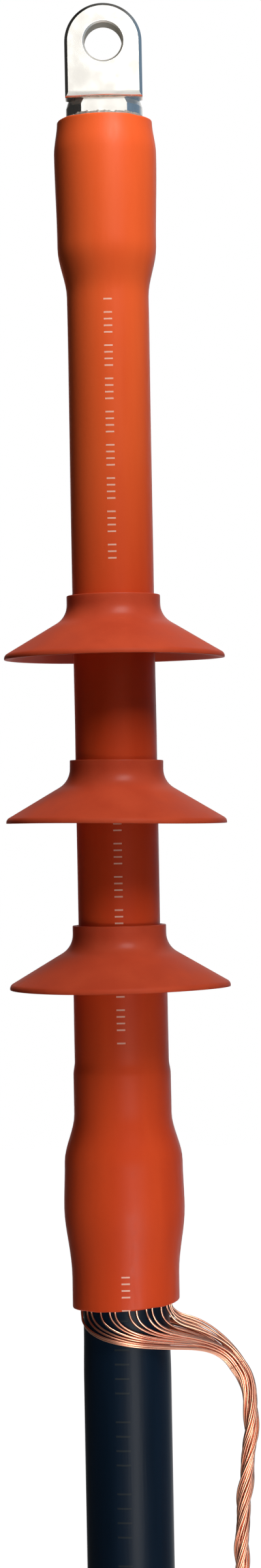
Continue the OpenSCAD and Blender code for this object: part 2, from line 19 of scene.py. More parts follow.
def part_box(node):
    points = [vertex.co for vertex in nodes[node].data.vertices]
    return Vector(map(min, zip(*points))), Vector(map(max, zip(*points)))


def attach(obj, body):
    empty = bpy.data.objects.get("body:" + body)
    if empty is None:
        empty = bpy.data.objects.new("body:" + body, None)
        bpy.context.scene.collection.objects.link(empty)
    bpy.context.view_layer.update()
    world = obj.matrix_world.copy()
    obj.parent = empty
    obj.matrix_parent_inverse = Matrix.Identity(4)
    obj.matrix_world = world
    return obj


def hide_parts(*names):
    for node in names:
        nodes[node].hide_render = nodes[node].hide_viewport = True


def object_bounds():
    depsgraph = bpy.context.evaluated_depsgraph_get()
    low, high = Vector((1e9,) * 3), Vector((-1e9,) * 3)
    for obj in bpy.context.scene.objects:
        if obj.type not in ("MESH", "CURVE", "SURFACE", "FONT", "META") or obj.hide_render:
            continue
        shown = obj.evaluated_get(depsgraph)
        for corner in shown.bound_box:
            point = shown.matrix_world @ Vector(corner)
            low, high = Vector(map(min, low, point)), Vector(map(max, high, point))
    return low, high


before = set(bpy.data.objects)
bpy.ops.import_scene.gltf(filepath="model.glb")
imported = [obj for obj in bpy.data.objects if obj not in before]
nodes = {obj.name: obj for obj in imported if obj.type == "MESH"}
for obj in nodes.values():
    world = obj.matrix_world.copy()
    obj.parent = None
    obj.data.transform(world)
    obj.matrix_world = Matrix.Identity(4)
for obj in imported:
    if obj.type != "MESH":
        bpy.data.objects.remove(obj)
cad_box = [list(corner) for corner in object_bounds()]
scene = bpy.context.scene
scene.view_settings.view_transform = "Standard"
MM = 0.001


def short(numbers):
    """Numbers rounded for printing."""
    return [round(float(v), 4) for v in numbers]


print(len(nodes), "solid pieces in a box from", short(cad_box[0]), "to", short(cad_box[1]))

# %% [markdown]
# ## Where the cable stands
#
# The frame's origin is the centre of the lug's hole, and the cable hangs below it, a little behind. All
# round pieces share the cable's axis. Its place could be typed in, but a measured one follows the solids,
# so it is taken from the sheath, the plainest cylinder of them. The tube's mouth is cut at a slant. The
# wires and the lead are reckoned from the middle of that cut, so its height is kept here too.

# %% The cable's axis
MOUTH_Z = -573 * MM
sheath_low, sheath_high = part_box("cable_sheath")
AXIS_Y = (sheath_low.y + sheath_high.y) / 2
CABLE_END_Z = sheath_low.z
SHEATH_R = (sheath_high.x - sheath_low.x) / 2
print("cable axis at y =", round(AXIS_Y, 4), "and sheath radius", round(SHEATH_R, 4))

# %% [markdown]
# ## The camera
#
# A long lens from a metre and a half away keeps a tall, thin thing from tapering. The camera looks straight
# along +Y, at the height where the sheds turn from showing their undersides to showing their tops. It could
# be tilted to take in the whole length, but then upright lines would lean together, so the lens is shifted
# instead. The camera is rolled by one degree, as a hand-held one is.

# %% Camera
FRAME_W = 400
FRAME_H = 2402
PIXELS_PER_METRE = 3350
EYE_ROW = 1240
HOLE_ROW = 76.4
AXIS_COLUMN = 179.6
EYE_TO_AXIS = 1.421
NEAREST = 0.05
ROLL = math.radians(1.06)
SENSOR = 36

eye_z = (HOLE_ROW - EYE_ROW) / PIXELS_PER_METRE
eye_x = (FRAME_W / 2 - AXIS_COLUMN) / PIXELS_PER_METRE
lens = bpy.data.cameras.new("camera")
lens.sensor_width = SENSOR
lens.lens = SENSOR * EYE_TO_AXIS * PIXELS_PER_METRE / FRAME_H
lens.shift_y = (EYE_ROW - FRAME_H / 2) / FRAME_H
lens.clip_start = NEAREST
camera = bpy.data.objects.new("camera", lens)
scene.collection.objects.link(camera)
right = Vector((math.cos(ROLL), 0, -math.sin(ROLL)))
up = Vector((math.sin(ROLL), 0, math.cos(ROLL)))
turn = Matrix((right, up, Vector((0, -1, 0)))).transposed().to_4x4()
camera.matrix_world = Matrix.Translation((eye_x, AXIS_Y - EYE_TO_AXIS, eye_z)) @ turn
scene.camera = camera
print("lens", round(lens.lens, 1), "mm, eye at", short(camera.location))

# %% [markdown]
# ## The route of the earth lead
#
# The lead is the cable's own screen wires twisted together. It leaves the fan of wires beside the sheath,
# bends over under its own weight and hangs down to a lug for an earth bar. A simulation could let it hang,
# but a cord starts from facts: where it leaves, how long and thick it is, and what is on its end. So the
# points of the route are listed in millimetres from the axis at the tube's mouth, and a smooth
# curve runs through them.

# %% Lead route
LEAD_ROUTE = [
    (50.5, 0, -28), (53.5, 0, -33), (55.2, 0, -38.5), (56, 0, -44.5), (56.2, 0, -51), (56, 0, -58),
    (55.2, 0, -66), (54.4, 0, -74), (53.4, 0, -82), (52.4, 0, -90), (51.6, 0, -98), (51.1, 0, -106),
    (50.8, 0, -114), (50.6, 0, -122), (50.5, 0, -130), (50.5, 0, -138), (50.5, 0, -146),
]
lead_points = np.array(LEAD_ROUTE) * MM + (0, AXIS_Y, MOUTH_Z)
print("the lead's route has", len(lead_points), "points")

# %% A smooth curve along the route
STEPS_A_POINT = 8


def unit(vectors):
    """Vectors of length one."""
    return vectors / np.linalg.norm(vectors, axis=-1, keepdims=True)


def smooth_through(points, steps):
    """A curve through points, with some steps between each two of them."""
    ends = np.vstack([2 * points[0] - points[1], points, 2 * points[-1] - points[-2]])
    t = np.linspace(0, 1, steps, endpoint=False)[:, None]
    curve = []
    for a, b, c, d in zip(ends[:-3], ends[1:-2], ends[2:-1], ends[3:]):
        square = 2 * a - 5 * b + 4 * c - d
        cube = 3 * b - a - 3 * c + d
        curve.append(0.5 * (2 * b + (c - a) * t + square * t**2 + cube * t**3))
    return np.vstack(curve + [points[-1:]])


lead_line = smooth_through(lead_points, STEPS_A_POINT)
lead_steps = np.linalg.norm(np.diff(lead_line, axis=0), axis=1)
lead_run = np.concatenate([[0], np.cumsum(lead_steps)])
lead_heading = unit(lead_points[1] - lead_points[0])

# %% [markdown]
# ## A mesh for many wires
#
# A wire is a circle carried along a path. A curve with a bevel would draw it too, but here each wire has to
# carry a number, its tone, which the copper later reads to be brighter or more tarnished. So the rings are
# made point by point, and all the wires of one piece go into one mesh. Each ring has to turn no more than
# the path does, or the surface would wring, so it takes its sideways direction from the ring before.

# %% Rings along a path
WIRE_SIDES = 10
ASKEW = (0.3, 0.2, 1.0)


def carried_across(heads):
    """A direction across each heading that turns no more than the path does. No path starts along ASKEW."""
    across = [unit(np.cross(heads[0], ASKEW))]
    for head in heads[1:]:
        last = across[-1]
        across.append(unit(last - head * np.dot(last, head)))
    return np.array(across)


def rod_points(path, radius):
    """Points of the rings round a path, ring by ring."""
    turns = np.arange(WIRE_SIDES) * 2 * math.pi / WIRE_SIDES
    cosines = np.cos(turns)[:, None]
    sines = np.sin(turns)[:, None]
    heads = unit(np.gradient(path, axis=0))
    sideways = carried_across(heads)
    other = np.cross(heads, sideways)
    points = []
    for i in range(len(path)):
        points.extend(path[i] + radius * (cosines * sideways[i] + sines * other[i]))
    return points


def rod_faces(start, rings):
    """Faces over rings whose points are numbered from a start, with a flat face on each end."""
    faces = []
    for i in range(rings - 1):
        for k in range(WIRE_SIDES):
            a = start + i * WIRE_SIDES + k
            b = start + i * WIRE_SIDES + (k + 1) % WIRE_SIDES
            faces.append((a, b, b + WIRE_SIDES, a + WIRE_SIDES))
    last = start + (rings - 1) * WIRE_SIDES
    faces.append([start + k for k in reversed(range(WIRE_SIDES))])
    faces.append([last + k for k in range(WIRE_SIDES)])
    return faces


print("each ring of a wire has", WIRE_SIDES, "points")

# %% Wires in one piece
def new_piece(name, mesh):
    """A smooth-shaded object that rides on the part's one body."""
    mesh.shade_smooth()
    piece = bpy.data.objects.new(name, mesh)
    scene.collection.objects.link(piece)
    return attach(piece, "root")


def rods(name, paths, radius, tones):
    """One mesh of round wires along paths, each wire with its own tone."""
    points = []
    faces = []
    point_tones = []
    for path, tone in zip(paths, tones):
        faces.extend(rod_faces(len(points), len(path)))
        points.extend(rod_points(path, radius))
        point_tones.extend([tone] * WIRE_SIDES * len(path))
    mesh = bpy.data.meshes.new(name)
    mesh.from_pydata(points, [], faces)
    mesh.attributes.new("tone", "FLOAT", "POINT").data.foreach_set("value", point_tones)
    piece = new_piece(name, mesh)
    for face in mesh.polygons:
        face.use_smooth = len(face.vertices) == 4
    return piece


print("piece helpers:", [helper.__name__ for helper in (new_piece, rods)])

# %% [markdown]
# ## Thirty wires in three strands
#
# Thirty copper wires of the cable's screen make the lead. The solids place them in rows, fifteen a side. A
# fitter twists them by hand into three loose strands of ten. Neat rings of wires would be quick to write,
# but would look like a factory's rope, so the wires find their places themselves: in small steps, each is
# drawn towards the middle of its own strand and pushed off the wires that it touches, with more room to
# those of another strand. The dark gaps between the strands come from that room.

# %% Rows, and which wire goes to which strand
WIRE_D = 1.0 * MM
WIRES_A_SIDE = 15
LEAD_PITCH = 1.16 * MM
ROW_STEP = math.sqrt(3) / 2
STRANDS = 3
LEAD_SLOTS = [
    (2.5, 0), (1.5, 0), (2, 1), (0.5, 0), (1, 1), (1.5, 2), (0.5, 2), (0, 1),
    (-0.5, 0), (-0.5, 2), (-1, 1), (-1.5, 0), (-1.5, 2), (-2, 1), (-2.5, 0),
]
slots = [(height, side * (0.5 + row * ROW_STEP)) for side in (-1, 1) for height, row in LEAD_SLOTS]
row_places = LEAD_PITCH * np.array(slots)
round_the_lead = np.argsort(np.arctan2(row_places[:, 1], row_places[:, 0]))
strand_of = np.empty(len(row_places), int)
strand_of[round_the_lead] = np.repeat(np.arange(STRANDS), len(row_places) // STRANDS)
print("wires in each strand:", np.bincount(strand_of))

# %% Wires that settle into strands
WIRE_ROOM = 1.02 * WIRE_D
STRAND_ROOM = 1.45 * MM
SETTLE_STEPS = 300
STRAND_PULL = 0.03
LEAD_PULL = 0.01


def settled_in_strands(places):
    """Places of the wires once they have settled into round strands."""
    spots = places.copy()
    same = strand_of[:, None] == strand_of[None, :]
    room = np.where(same, WIRE_ROOM, STRAND_ROOM)
    for _ in range(SETTLE_STEPS):
        for strand in range(STRANDS):
            own = strand_of == strand
            spots[own] += STRAND_PULL * (spots[own].mean(axis=0) - spots[own])
        spots *= 1 - LEAD_PULL
        apart = spots[:, None] - spots[None, :]
        gaps = np.linalg.norm(apart, axis=2) + np.eye(len(spots))
        push = np.clip(room - gaps, 0, None) / 2
        spots += (apart / gaps[..., None] * push[..., None]).sum(axis=1)
    return spots


strand_places = settled_in_strands(row_places)
strands_reach = np.linalg.norm(strand_places, axis=1).max() + WIRE_D / 2
print("strands reach", round(float(strands_reach), 5), "m from the middle")

# %% [markdown]
# Where the lead leaves the fan, the wires are only half on the way from their rows to their strands. There
# they are also splayed, and hang a little lower, because nothing binds them yet.

# %% Places where the lead begins
STRAND_SHARE = 0.6
SPLAY = 1.3
SPLAY_DROP = 0.9 * MM
start_places = (1 - STRAND_SHARE) * row_places + STRAND_SHARE * strand_places
start_places[:, 0] = SPLAY * start_places[:, 0] - SPLAY_DROP
print("the lead begins", round(float(np.ptp(start_places[:, 0]) + WIRE_D), 5), "m high")

# %% [markdown]
# ## The fan of screen wires
#
# The wires lie under the cable's sheath. At the sheath's cut they are folded back over it, so they come out
# below the red tube's mouth, all round the cable, and are bent to one side. Thirty curves could be drawn
# one by one, but they would soon cut through each other, so all follow one rule. The wires nearest to the
# lead leave first, and those from the far side wrap round the sheath below them. Each wire runs along a
# quarter of a squarish ellipse on the sheath, flies off along the tangent, and curves into its place in the
# lead.
#
# By hand no two wires end up equally far apart. So the gaps are drawn at random, with a fixed seed, and a
# wire that would cut into its neighbours rides over them.

# %% Uneven gaps
FAN_TOP = 8.2 * MM
FAN_FOOT = 18.8 * MM
GAP_EVENNESS = 10
LIFT_STEP = 0.05 * MM
rng = np.random.default_rng(7)


def fan_drops(first, last):
    """Drops of one side's wires below the mouth, with uneven gaps, and each wire's lift over the others."""
    steps = rng.gamma(GAP_EVENNESS, 1, WIRES_A_SIDE - 1)
    drops = first + (last - first) * np.concatenate([[0], np.cumsum(steps) / steps.sum()])
    lifts = []
    for k in range(WIRES_A_SIDE):
        lift = 0
        while any(math.hypot(drops[k] - drops[j], lift - lifts[j]) < WIRE_D for j in range(k)):
            lift += LIFT_STEP
        lifts.append(lift)
    return drops, lifts


print("drops of the first and last wire in front:", short((FAN_TOP, FAN_FOOT)), "m")

# %% Round the sheath and off it
FAN_SQUARE = 2.5
FAN_SAG = 0.3
LIFT_IN = 0.5
WRAP_POINTS = 40
SHEATH_GAP = 0.05 * MM
FOLD_R = SHEATH_R + SHEATH_GAP + WIRE_D / 2


def ease(t):
    """From 0 to 1 without a kink at either end."""
    t = np.clip(t, 0, 1)
    return t * t * (3 - 2 * t)


def wrapped(angle, leave, onward, length, drop, lift):
    """Path of one wire round the sheath, from an angle to where it leaves, and on along the tangent."""
    round_len = FOLD_R * (angle - leave)
    sag = FAN_SAG * drop
    path = []
    for a in np.linspace(0, math.pi / 2, WRAP_POINTS):
        gone = 1 - max(0, math.cos(a))**(2 / FAN_SQUARE)
        fallen = math.sin(a)**(2 / FAN_SQUARE)
        s = length * gone
        at = angle - min(s, round_len) / FOLD_R
        r = FOLD_R + lift * ease(a / LIFT_IN)
        plan = r * np.array([math.cos(at), math.sin(at)]) + onward * max(0, s - round_len)
        path.append((*plan, -(drop - sag) * fallen - sag * gone))
    return path


print("wires lie on the sheath at a radius of", round(FOLD_R, 5), "m")

# %% Into the lead
GATHER = 31 * MM
GATHER_SHARE = 0.75
LEAVE_REACH = 0.4
ARRIVE_REACH = 0.36
CURVE_POINTS = 22
TUCK_IN = 0.8 * MM


def gathered(begin, leaving, arriving, slot):
    """Points of a smooth curve that takes a wire from the end of its wrap into its slot."""
    points = []
    for t in np.linspace(0, 1, CURVE_POINTS)[1:]:
        first_half = begin * (1 - t)**3 + leaving * 3 * t * (1 - t)**2
        second_half = arriving * 3 * t**2 * (1 - t) + slot * t**3
        points.append(first_half + second_half)
    return points


def fan_path(place, side, angle, drop, lift):
    """Path of one wire from the tube's mouth to its place in the lead, in the frame."""
    climb = np.array([-lead_heading[2], 0, lead_heading[0]])
    slot = np.array(LEAD_ROUTE[0]) * MM + place[0] * climb + (0, side * place[1], 0)
    target = slot[:2]
    turn_off = math.atan2(target[1], target[0]) + math.acos(FOLD_R / np.linalg.norm(target))
    leave = min(angle, turn_off)
    flight = target - FOLD_R * np.array([math.cos(leave), math.sin(leave)])
    onward = unit(flight)
    gather = min(GATHER, GATHER_SHARE * np.linalg.norm(flight))
    length = FOLD_R * (angle - leave) + np.linalg.norm(flight) - gather
    path = wrapped(angle, leave, onward, length, drop, lift)
    begin = np.array(path[-1])
    leaving = begin + LEAVE_REACH * gather * np.array([*onward, -FAN_SAG * drop / length])
    arriving = slot - ARRIVE_REACH * gather * lead_heading
    path.extend(gathered(begin, leaving, arriving, slot))
    path.append(slot + TUCK_IN * lead_heading)
    return np.array(path) * (1, side, 1) + (0, AXIS_Y, MOUTH_Z)


print("wires gather over", round(GATHER, 4), "m")

# %% [markdown]
# Each wire starts at the cable's end, under the sheath, runs up to the sheath's cut and folds over it. Most
# of that stays hidden, but wires that really go all the way can't show a loose end at the mouth. The wires
# on the far side come out a little higher than those in front. Some wires are more tarnished than others,
# and one strand more than the other two.

# %% Screen wires
INNER_R = 16.8 * MM
FOLD_Z = -499.8 * MM
FOLD_POINTS = 7
BACK_RISE = 1.5 * MM
SPOT_JITTER = 0.3
TARNISH_MOST = 0.75
TARNISH_SHAPE = (0.7, 2.2)
STRAND_TARNISH = np.array([0.0, 0.25, 0.08])
fold_bend = (FOLD_R - INNER_R) / 2


def folded_back(out):
    """Path of one wire from the cable's end, up under the sheath and over its cut, on the side it faces."""
    path = [INNER_R * out + (0, AXIS_Y, CABLE_END_Z)]
    for a in np.linspace(math.pi, 0, FOLD_POINTS):
        reach = INNER_R + fold_bend * (1 + math.cos(a))
        path.append(reach * out + (0, AXIS_Y, FOLD_Z + fold_bend * math.sin(a)))
    return path


wire_paths = []
for side in (-1, 1):
    rise = BACK_RISE if side > 0 else 0
    drops, lifts = fan_drops(FAN_TOP - rise, FAN_FOOT - rise)
    spots = np.arange(WIRES_A_SIDE) + 0.5 + rng.uniform(-SPOT_JITTER, SPOT_JITTER, WIRES_A_SIDE)
    for k in range(WIRES_A_SIDE):
        angle = math.pi * spots[k] / WIRES_A_SIDE
        inside = folded_back(np.array([math.cos(angle), side * math.sin(angle), 0]))
        place = start_places[len(wire_paths)]
        wire_paths.append(np.vstack([inside, fan_path(place, side, angle, drops[k], lifts[k])]))
wire_tones = TARNISH_MOST * rng.beta(*TARNISH_SHAPE, len(wire_paths)) + STRAND_TARNISH[strand_of]
screen_wires = rods("screen_wires_fan", wire_paths, WIRE_D / 2, wire_tones)
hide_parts("screen_wires")
print(len(wire_paths), "screen wires,", len(screen_wires.data.polygons), "faces")

# %% [markdown]
# ## The twisted lead
#
# The same wires go on into the lead. A plain rod with a twisted pattern would do from far off, but it would
# end the fan in a wall. So each wire starts where its fan ended, and goes over into its place in a strand
# while the whole pattern turns along the lead. The twist sets in slowly, as it does beside the hand that
# holds the fan. A slow wave in every wire keeps it from looking machine-made.

# %% Earth lead
TWIST_LAY = 60 * MM
TWIST_EASE = 14 * MM
STRAND_EASE = 26 * MM
WAVE_DEPTH = 0.1 * MM
WAVE_LENGTH = 29 * MM
WAVE_SHIFT = 7


def lead_wire(start, settled, tone):
    """Path of one wire down the lead, from its place where the fan ends to its place in a strand."""
    drawn = ease(lead_run / STRAND_EASE)
    wave = WAVE_DEPTH * drawn * np.sin(2 * math.pi * (lead_run / WAVE_LENGTH + WAVE_SHIFT * tone))
    u = start[0] + (settled[0] - start[0]) * drawn + wave
    v = start[1] + (settled[1] - start[1]) * drawn - wave
    held_back = TWIST_EASE * (1 - np.exp(-lead_run / TWIST_EASE))
    twist = -2 * math.pi * (lead_run - held_back) / TWIST_LAY
    lift = u * np.cos(twist) - v * np.sin(twist)
    sideways = u * np.sin(twist) + v * np.cos(twist)
    heads = unit(np.gradient(lead_line, axis=0))
    climb = np.stack([-heads[:, 2], 0 * heads[:, 0], heads[:, 0]], axis=1)
    return lead_line + lift[:, None] * climb + sideways[:, None] * (0, 1, 0)


lead_paths = [lead_wire(*wire) for wire in zip(start_places, strand_places, wire_tones)]
earth_lead = rods("earth_lead_twisted", lead_paths, WIRE_D / 2, wire_tones)
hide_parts("earth_lead")
print("lead of", len(lead_paths), "wires,", len(earth_lead.data.polygons), "faces")

# %% [markdown]
# ## Turned pieces
#
# The tube, the sheds and the sheath are all round about the cable's axis. Their outlines could be drawn
# again, but the solids already have them, so each is read from its solid, where the seam runs down one
# side.

# %% Outline of a turned solid
SEAM_SLACK = 1e-6


def seam_outline(name):
    """The (radius, height) outline of a turned solid, from its top down the outside and up the bore."""
    mesh = nodes[name].data
    seam = {}
    for vertex in mesh.vertices:
        if vertex.co.x > 0 and abs(vertex.co.y - AXIS_Y) < SEAM_SLACK:
            seam[vertex.index] = (round(vertex.co.x, 6), round(vertex.co.z, 6))
    joined = {point: set() for point in seam.values()}
    for edge in mesh.edges:
        a, b = (seam.get(i) for i in edge.vertices)
        if a and b:
            joined[a].add(b)
            joined[b].add(a)
    left = set(joined)
    order = [max(left, key=lambda p: (p[1], p[0]))]
    left.remove(order[0])
    while left:
        here = order[-1]
        near = joined[here] & left or left
        order.append(min(near, key=lambda p: math.dist(p, here)))
        left.remove(order[-1])
    return np.array(order)


tube_outline = seam_outline("insulating_tube")
tube_top = tube_outline[:, 1].max()
tube_foot = tube_outline[:, 1].min()
print("the tube's outline has", len(tube_outline), "points, between", short((tube_top, tube_foot)), "m")

# %% [markdown]
# No moulded or cut rubber edge is perfectly sharp. A Bevel modifier could round the edges of the finished
# mesh, but on the outline a corner takes only a few points, and turning it then rounds the whole edge. The
# straights get points too, so that they can wave a little.

# %% Softened corners
CORNER_BEND = math.radians(20)
CORNER_SHARE = 0.45
CORNER_POINTS = 5
TUBE_CORNER = 0.9 * MM
TUBE_STEP = 3.2 * MM


def rounded_corner(before, here, after, corner):
    """Points round one corner of an outline, or the corner itself where the outline hardly bends."""
    back = before - here
    on = after - here
    back_len = np.linalg.norm(back)
    on_len = np.linalg.norm(on)
    bend = math.pi - math.acos(np.clip(np.dot(back, on) / back_len / on_len, -1, 1))
    if bend < CORNER_BEND:
        return [here]
    cut = min(corner, CORNER_SHARE * min(back_len, on_len))
    first = here + back / back_len * cut
    last = here + on / on_len * cut
    shares = np.linspace(0, 1, CORNER_POINTS)
    return [first * (1 - t)**2 + here * 2 * t * (1 - t) + last * t**2 for t in shares]


def softened(outline, corner, step):
    """An outline with rounded corners and points along its straights."""
    soft = []
    for before, here, after in zip(np.roll(outline, 1, axis=0), outline, np.roll(outline, -1, axis=0)):
        soft.extend(rounded_corner(before, here, after, corner))
    filled = []
    for a, b in zip(soft, soft[1:] + soft[:1]):
        count = max(1, math.ceil(np.linalg.norm(b - a) / step))
        filled.extend(a + (b - a) * n / count for n in range(count))
    return np.array(filled)


tube_soft = softened(tube_outline, TUBE_CORNER, TUBE_STEP)
print("softened, it has", len(tube_soft), "points")

# %% [markdown]
# A Screw modifier would turn an outline about an axis, but perfectly round pieces look like plastic toys.
# So the rings are worked out here, in fine steps that let a highlight run smoothly over them, and a
# function may shape them on the way. The unevenness it adds is a sum of a few smooth waves round
# and along the piece.

# %% Turning
TUBE_SEGMENTS = 192


def turned(name, outline, segments, shape):
    """A piece turned about the cable's axis, with a function that shapes its rings."""
    angle = np.arange(segments) * 2 * math.pi / segments
    a = np.repeat(angle[None, :], len(outline), axis=0)
    r = np.repeat(outline[:, :1], segments, axis=1)
    z = np.repeat(outline[:, 1:], segments, axis=1)
    r, z = shape(r, z, a)
    points = np.stack([r * np.cos(a), AXIS_Y + r * np.sin(a), z], axis=2).reshape(-1, 3)
    rows = np.arange(len(outline))[:, None] * segments
    rows_on = np.roll(rows, -1, axis=0)
    cols = np.arange(segments)[None, :]
    cols_on = np.roll(cols, -1, axis=1)
    corners = [rows + cols, rows_on + cols, rows_on + cols_on, rows + cols_on]
    faces = np.stack(corners, axis=2).reshape(-1, 4)
    mesh = bpy.data.meshes.new(name)
    mesh.from_pydata(points.tolist(), [], faces.tolist())
    return new_piece(name, mesh)


def ripples(a, z, waves, seed):
    """A smooth uneven field round a turned piece, from -1 to 1, for waves of (turns, length, weight)."""
    phases = np.random.default_rng(seed).uniform(0, 2 * math.pi, len(waves))
    total = sum(weight for _, _, weight in waves)
    field = 0
    for (turns, length, weight), phase in zip(waves, phases):
        field = field + weight / total * np.sin(turns * a + 2 * math.pi * z / length + phase)
    return field


ring_step = 2 * math.pi * tube_outline[:, 0].max() / TUBE_SEGMENTS
print("points on the tube's widest ring are", round(ring_step, 5), "m apart")

# %% [markdown]
# ## The shrunk tube
#
# The tube was shrunk with a flame, from the middle towards both ends. It takes the shape of what lies under
# it, down to a trace of the wires near its mouth, and keeps a faint unevenness where the heat was uneven.
# Its ends were cut by hand, so the rims wave a little, and the mouth is cut at a slant. A Displace modifier
# could add the waves, but not the slant. Here the solid's seam gives the mouth on one side, and the ring's
# angle carries the slant round to the other.

# %% Insulating tube
MOUTH_SLANT = math.tan(math.radians(3.6))
SLANT_FADE = 30 * MM
RIM_FADE = 4 * MM
MOUTH_WAVE = 0.35 * MM
RIM_WAVE = 0.3 * MM
FLOW_DEPTH = 0.12 * MM
TRACE_DEPTH = 0.015 * MM
TRACE_REACH = 20 * MM
TRACE_FADE = 14 * MM
CUT_WAVES = [(2, 1, 1.0), (5, 1, 0.6), (9, 1, 0.5), (14, 1, 0.35)]
FLOW_WAVES = [(1, 0.19, 1), (2, -0.13, 1), (3, 0.083, 0.8), (5, -0.06, 0.5), (7, 0.31, 0.5)]


def shrunk(r, z, a):
    """Slants the mouth, waves both ends and leaves the wall faintly uneven."""
    mouth = 1 - ease((z - tube_foot) / SLANT_FADE)
    rim = 1 - ease((tube_top - z) / RIM_FADE)
    cut = ripples(a, 0 * z, CUT_WAVES, 3)
    flow = ripples(a, z, FLOW_WAVES, 4)
    trace = ease((tube_foot + TRACE_REACH - z) / TRACE_FADE) * np.cos(2 * WIRES_A_SIDE * a)
    fallen = r * (1 - np.cos(a)) * MOUTH_SLANT * mouth
    wall = r + FLOW_DEPTH * flow + TRACE_DEPTH * trace
    return wall, z - fallen + cut * (MOUTH_WAVE * mouth + RIM_WAVE * rim)


tube = turned("shrunk_tube", tube_soft, TUBE_SEGMENTS, shrunk)
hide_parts("insulating_tube")
print("tube with", len(tube.data.polygons), "faces")

# %% [markdown]
# ## The rain sheds
#
# Each shed is one moulded piece: a short neck that grips the tube, a sweep and a skirt with a rounded rim.
# Copies of one mesh would be enough for three sheds from one mould, but soft rims never hang quite alike.
# So the sheds share one outline, each rim droops in its own way, and the middle one was pushed on slightly
# askew.

# %% Rain sheds
SHED_CORNER = 0.5 * MM
SHED_STEP = 1.3 * MM
SHED_SEGMENTS = 160
SHED_GRIP = 7.5 * MM
MIDDLE_LEAN = math.radians(0.9)
DROOP = 0.35 * MM
DROOP_WAVES = [(1, 1, 0.6), (2, 1, 1), (3, 1, 0.5)]
shed_outline = softened(seam_outline("rain_shed_lower"), SHED_CORNER, SHED_STEP)
half_rim_r = shed_outline[:, 0].max() / 2
lower_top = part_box("rain_shed_lower")[1].z
upper_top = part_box("rain_shed_upper")[1].z


def shed(name, node, top, lean, seed):
    """One shed with its neck's top at a height, leant about the middle of its collar."""
    def moulded(r, z, a):
        """Lets the skirt droop unevenly, the more the nearer to the rim."""
        out = ease((r - half_rim_r) / half_rim_r)
        return r, z + DROOP * out * ripples(a, 0 * z, DROOP_WAVES, seed)

    piece = turned(name, shed_outline, SHED_SEGMENTS, moulded)
    centre = Vector((0, AXIS_Y, top - SHED_GRIP))
    seat = Vector((0, AXIS_Y, lower_top - SHED_GRIP))
    move = Matrix.Translation(centre) @ Matrix.Rotation(lean, 4, "Y") @ Matrix.Translation(-seat)
    piece.data.transform(move)
    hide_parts(node)
    return piece


sheds = [
    shed("moulded_shed_lower", "rain_shed_lower", lower_top, 0, 11),
    shed("moulded_shed_middle", "rain_shed_middle", (lower_top + upper_top) / 2, MIDDLE_LEAN, 12),
    shed("moulded_shed_upper", "rain_shed_upper", upper_top, 0, 13),
]
print(len(sheds), "sheds of", len(sheds[0].data.polygons), "faces")

# %% [markdown]
# ## The sealant at the rim
#
# Under the tube's top end the lug is wrapped in sealant. When the tube shrinks, it squeezes a little of it
# out above the rim, where it stays as a rough, crumbly bead. It fills the gap in front of the barrel's flat
# as well. A bump could fake the crumbs, but they show against the bright lug, so the bead is turned like
# the tube, with many short waves.

# %% Sealant bead
BARREL_R = 17.5 * MM
BEAD_CORNER = 0.4 * MM
BEAD_STEP = 0.5 * MM
BEAD_SEGMENTS = 256
CRUMB_OUT = 0.2 * MM
CRUMB_UP = 0.7 * MM
CRUMB_WAVES = [(5, 1, 1), (11, 1, 0.8), (23, 1, 0.8), (41, 1, 0.7), (67, 1, 0.6)]
BEAD_SECTION = [(1.0, -1.5), (1.1, 0.5), (0.7, 1.5), (-0.2, 1.9), (-5.5, 1.5), (-5.5, -1.5)]
bead_outline = np.array(BEAD_SECTION) * MM + (BARREL_R, tube_top)


def squeezed(r, z, a):
    """Leaves the bead rough and uneven in height."""
    crumbs = ripples(a, 0 * z, CRUMB_WAVES, 31)
    risen = ease((z - tube_top) / MM)
    return r + CRUMB_OUT * crumbs * risen, z + CRUMB_UP * crumbs * risen


bead = turned("sealant_bead", softened(bead_outline, BEAD_CORNER, BEAD_STEP), BEAD_SEGMENTS, squeezed)
print("bead with", len(bead.data.polygons), "faces")

# %% [markdown]
# ## The sheath
#
# The cable's black sheath is extruded, so it is very even along its length, and a faint ovalness is enough
# to keep its reflection alive. Under the tube and the wires it was rubbed with abrasive cloth, so that
# sealant sticks to it. The solid has a plain step where the rubbing ends. A hand leaves none, so the sheath
# is turned again, and the rubbed zone fades out below the fan.

# %% Cable sheath
SHEATH_CORNER = 0.3 * MM
SHEATH_STEP = 4 * MM
SHEATH_SEGMENTS = 160
RUBBED_DEPTH = 0.3 * MM
RUBBED_END_Z = -606 * MM
RUBBED_FADE = 20 * MM
OVAL_DEPTH = 0.05 * MM
OVAL_WAVES = [(2, 0.4, 1), (3, -0.22, 0.7), (5, 0.13, 0.4)]
sheath_outline = softened(seam_outline("cable_sheath"), SHEATH_CORNER, SHEATH_STEP)


def extruded(r, z, a):
    """Leaves an extruded sheath faintly oval, with a rubbed zone that fades out."""
    rubbed_off = RUBBED_DEPTH * ease((z - RUBBED_END_Z) / RUBBED_FADE)
    oval = OVAL_DEPTH * ripples(a, z, OVAL_WAVES, 21)
    outside = r > SHEATH_R - 2 * RUBBED_DEPTH
    return np.where(outside, SHEATH_R - rubbed_off + oval, r), z


sheath = turned("extruded_sheath", sheath_outline, SHEATH_SEGMENTS, extruded)
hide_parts("cable_sheath")
print("sheath with", len(sheath.data.polygons), "faces")

# %% [markdown]
# ## Building materials from nodes
#
# Every finish below is a Principled shader fed by a few textures. The nodes could be laid out by hand in
# the shader editor, but a script can be read, repeated and changed in one place. A few small helpers keep
# it short. The first adds a node and fills its sockets, and the others are the sums and mixes that come up
# all the time.

